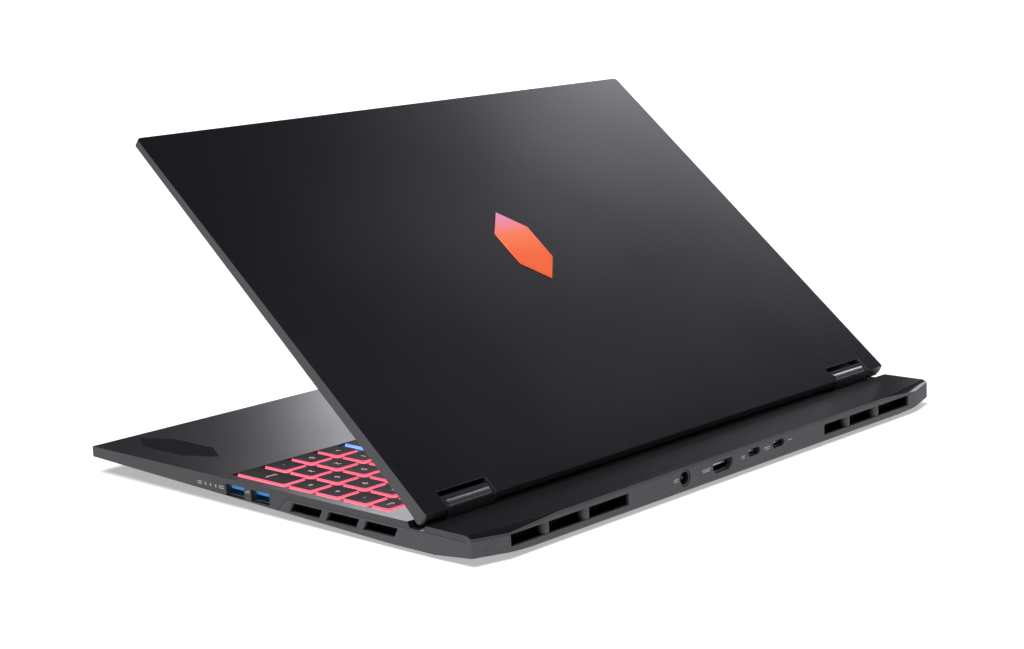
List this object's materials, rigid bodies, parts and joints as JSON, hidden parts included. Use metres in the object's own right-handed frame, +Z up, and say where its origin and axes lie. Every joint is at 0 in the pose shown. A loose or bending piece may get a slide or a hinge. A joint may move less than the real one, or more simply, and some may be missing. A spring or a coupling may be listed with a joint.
{
  "type": "laptop computer",
  "caption": "Laptop computer with a hinged screen lid, a rear shelf behind the hinge, a keyboard with number pad, side and rear vents and a touchpad.",
  "frame": {"origin": "middle of the base's footprint, on the surface the feet stand on", "axes": "+X to the user's right, -Y towards the user (front edge), +Z up"},
  "size_m": [0.357, 0.2784, 0.1753],
  "materials": {
    "keycap_plastic": "fine matt, light-transmitting skirt",
    "touchpad_surface": "satin",
    "lid_paint": "satin, fine grain",
    "badge_metal": "bright satin",
    "bezel_plastic": "fine texture",
    "screen_glass": "anti-glare",
    "lens_glass": "polished",
    "soft_rubber": "matt",
    "hinge_steel": "plain",
    "top_case_plastic": "satin",
    "bottom_cover_plastic": "speckled, rough",
    "screw_steel": "blackened",
    "key_plate_metal": "painted black",
    "light_guide_film": "clear film, lit",
    "socket_steel": "plain",
    "jack_plastic": "moulded",
    "circuit_board": "solder mask",
    "copper": "plain copper",
    "fin_aluminium": "blackened fins",
    "fan_plastic": "moulded",
    "battery_film": "film wrapped",
    "hinge_cover_plastic": "satin"
  },
  "bodies": {
    "base": {"top_case": "top_case_plastic", "bottom_cover": "bottom_cover_plastic", "bottom_screws": "screw_steel", "rubber_feet": "soft_rubber", "keyboard_plate": "key_plate_metal", "keyboard_light_guide": "light_guide_film", "usb_a_sockets_right": "socket_steel", "usb_a_socket_left": "socket_steel", "card_reader": "socket_steel", "audio_jack": "jack_plastic", "usb_c_sockets": "socket_steel", "hdmi_socket": "socket_steel", "dc_power_socket": "jack_plastic", "motherboard": "circuit_board", "heat_spreader": "copper", "heat_pipes": "copper", "rear_fin_stacks": "fin_aluminium", "side_fin_stacks": "fin_aluminium", "fan_housing_right": "fan_plastic", "fan_housing_left": "fan_plastic", "battery_pack": "battery_film", "memory_modules": "circuit_board", "solid_state_drive": "circuit_board", "wireless_card": "circuit_board", "speakers": "fan_plastic", "hinge_cover_right": "hinge_cover_plastic", "hinge_cover_left": "hinge_cover_plastic", "hinge_base_brackets": "hinge_steel"},
    "lid": {"lid_back_cover": "lid_paint", "lid_badge": "badge_metal", "screen_bezel": "bezel_plastic", "display_panel": "screen_glass", "webcam_module": "lens_glass", "screen_bumpers": "soft_rubber", "hinge_leaves": "hinge_steel"},
    "touchpad": {"touchpad": "touchpad_surface"},
    "fan_rotor_right": {"fan_rotor_right": "fan_plastic"},
    "fan_rotor_left": {"fan_rotor_left": "fan_plastic"},
    "function_row_keys": {"function_row_keys": "keycap_plastic"},
    "power_button": {"power_button": "keycap_plastic"},
    "number_row_keys": {"number_row_keys": "keycap_plastic"},
    "backspace_key": {"backspace_key": "keycap_plastic"},
    "tab_key": {"tab_key": "keycap_plastic"},
    "upper_letter_row_keys": {"upper_letter_row_keys": "keycap_plastic"},
    "caps_lock_key": {"caps_lock_key": "keycap_plastic"},
    "home_row_keys": {"home_row_keys": "keycap_plastic"},
    "enter_key": {"enter_key": "keycap_plastic"},
    "left_shift_key": {"left_shift_key": "keycap_plastic"},
    "lower_letter_row_keys": {"lower_letter_row_keys": "keycap_plastic"},
    "right_shift_key": {"right_shift_key": "keycap_plastic"},
    "arrow_up_key": {"arrow_up_key": "keycap_plastic"},
    "modifier_keys": {"modifier_keys": "keycap_plastic"},
    "space_bar": {"space_bar": "keycap_plastic"},
    "arrow_left_key": {"arrow_left_key": "keycap_plastic"},
    "arrow_down_key": {"arrow_down_key": "keycap_plastic"},
    "arrow_right_key": {"arrow_right_key": "keycap_plastic"},
    "numpad_keys": {"numpad_keys": "keycap_plastic"},
    "numpad_enter_key": {"numpad_enter_key": "keycap_plastic"}
  },
  "joints": [
    {"name": "lid_hinge", "type": "hinge", "parent": "base", "child": "lid", "pos_m": [0, 0.1023, 0.0182], "axis": [-1, 0, 0], "range_deg": [-40.4, 94.6]},
    {"name": "function_row_press", "type": "slide", "parent": "base", "child": "function_row_keys", "axis": [0, 0, -1], "range_m": [0, 0.0013], "stiffness_N_per_m": 450},
    {"name": "power_button_press", "type": "slide", "parent": "base", "child": "power_button", "axis": [0, 0, -1], "range_m": [0, 0.0013], "stiffness_N_per_m": 450},
    {"name": "number_row_press", "type": "slide", "parent": "base", "child": "number_row_keys", "axis": [0, 0, -1], "range_m": [0, 0.0013], "stiffness_N_per_m": 450},
    {"name": "backspace_press", "type": "slide", "parent": "base", "child": "backspace_key", "axis": [0, 0, -1], "range_m": [0, 0.0013], "stiffness_N_per_m": 450},
    {"name": "tab_press", "type": "slide", "parent": "base", "child": "tab_key", "axis": [0, 0, -1], "range_m": [0, 0.0013], "stiffness_N_per_m": 450},
    {"name": "upper_letter_row_press", "type": "slide", "parent": "base", "child": "upper_letter_row_keys", "axis": [0, 0, -1], "range_m": [0, 0.0013], "stiffness_N_per_m": 450},
    {"name": "caps_lock_press", "type": "slide", "parent": "base", "child": "caps_lock_key", "axis": [0, 0, -1], "range_m": [0, 0.0013], "stiffness_N_per_m": 450},
    {"name": "home_row_press", "type": "slide", "parent": "base", "child": "home_row_keys", "axis": [0, 0, -1], "range_m": [0, 0.0013], "stiffness_N_per_m": 450},
    {"name": "enter_press", "type": "slide", "parent": "base", "child": "enter_key", "axis": [0, 0, -1], "range_m": [0, 0.0013], "stiffness_N_per_m": 450},
    {"name": "left_shift_press", "type": "slide", "parent": "base", "child": "left_shift_key", "axis": [0, 0, -1], "range_m": [0, 0.0013], "stiffness_N_per_m": 450},
    {"name": "lower_letter_row_press", "type": "slide", "parent": "base", "child": "lower_letter_row_keys", "axis": [0, 0, -1], "range_m": [0, 0.0013], "stiffness_N_per_m": 450},
    {"name": "right_shift_press", "type": "slide", "parent": "base", "child": "right_shift_key", "axis": [0, 0, -1], "range_m": [0, 0.0013], "stiffness_N_per_m": 450},
    {"name": "arrow_up_press", "type": "slide", "parent": "base", "child": "arrow_up_key", "axis": [0, 0, -1], "range_m": [0, 0.0013], "stiffness_N_per_m": 450},
    {"name": "modifier_press", "type": "slide", "parent": "base", "child": "modifier_keys", "axis": [0, 0, -1], "range_m": [0, 0.0013], "stiffness_N_per_m": 450},
    {"name": "space_bar_press", "type": "slide", "parent": "base", "child": "space_bar", "axis": [0, 0, -1], "range_m": [0, 0.0013], "stiffness_N_per_m": 450},
    {"name": "arrow_left_press", "type": "slide", "parent": "base", "child": "arrow_left_key", "axis": [0, 0, -1], "range_m": [0, 0.0013], "stiffness_N_per_m": 450},
    {"name": "arrow_down_press", "type": "slide", "parent": "base", "child": "arrow_down_key", "axis": [0, 0, -1], "range_m": [0, 0.0013], "stiffness_N_per_m": 450},
    {"name": "arrow_right_press", "type": "slide", "parent": "base", "child": "arrow_right_key", "axis": [0, 0, -1], "range_m": [0, 0.0013], "stiffness_N_per_m": 450},
    {"name": "numpad_press", "type": "slide", "parent": "base", "child": "numpad_keys", "axis": [0, 0, -1], "range_m": [0, 0.0013], "stiffness_N_per_m": 450},
    {"name": "numpad_enter_press", "type": "slide", "parent": "base", "child": "numpad_enter_key", "axis": [0, 0, -1], "range_m": [0, 0.0013], "stiffness_N_per_m": 450},
    {"name": "touchpad_press", "type": "slide", "parent": "base", "child": "touchpad", "axis": [0, 0, -1], "range_m": [0, 0.00035], "stiffness_N_per_m": 6000},
    {"name": "fan_right_spin", "type": "hinge", "parent": "base", "child": "fan_rotor_right", "pos_m": [0.118, 0.0592, 0.0065], "axis": [0, 0, 1], "continuous": true},
    {"name": "fan_left_spin", "type": "hinge", "parent": "base", "child": "fan_rotor_left", "pos_m": [-0.118, 0.0592, 0.0065], "axis": [0, 0, 1], "continuous": true}
  ]
}
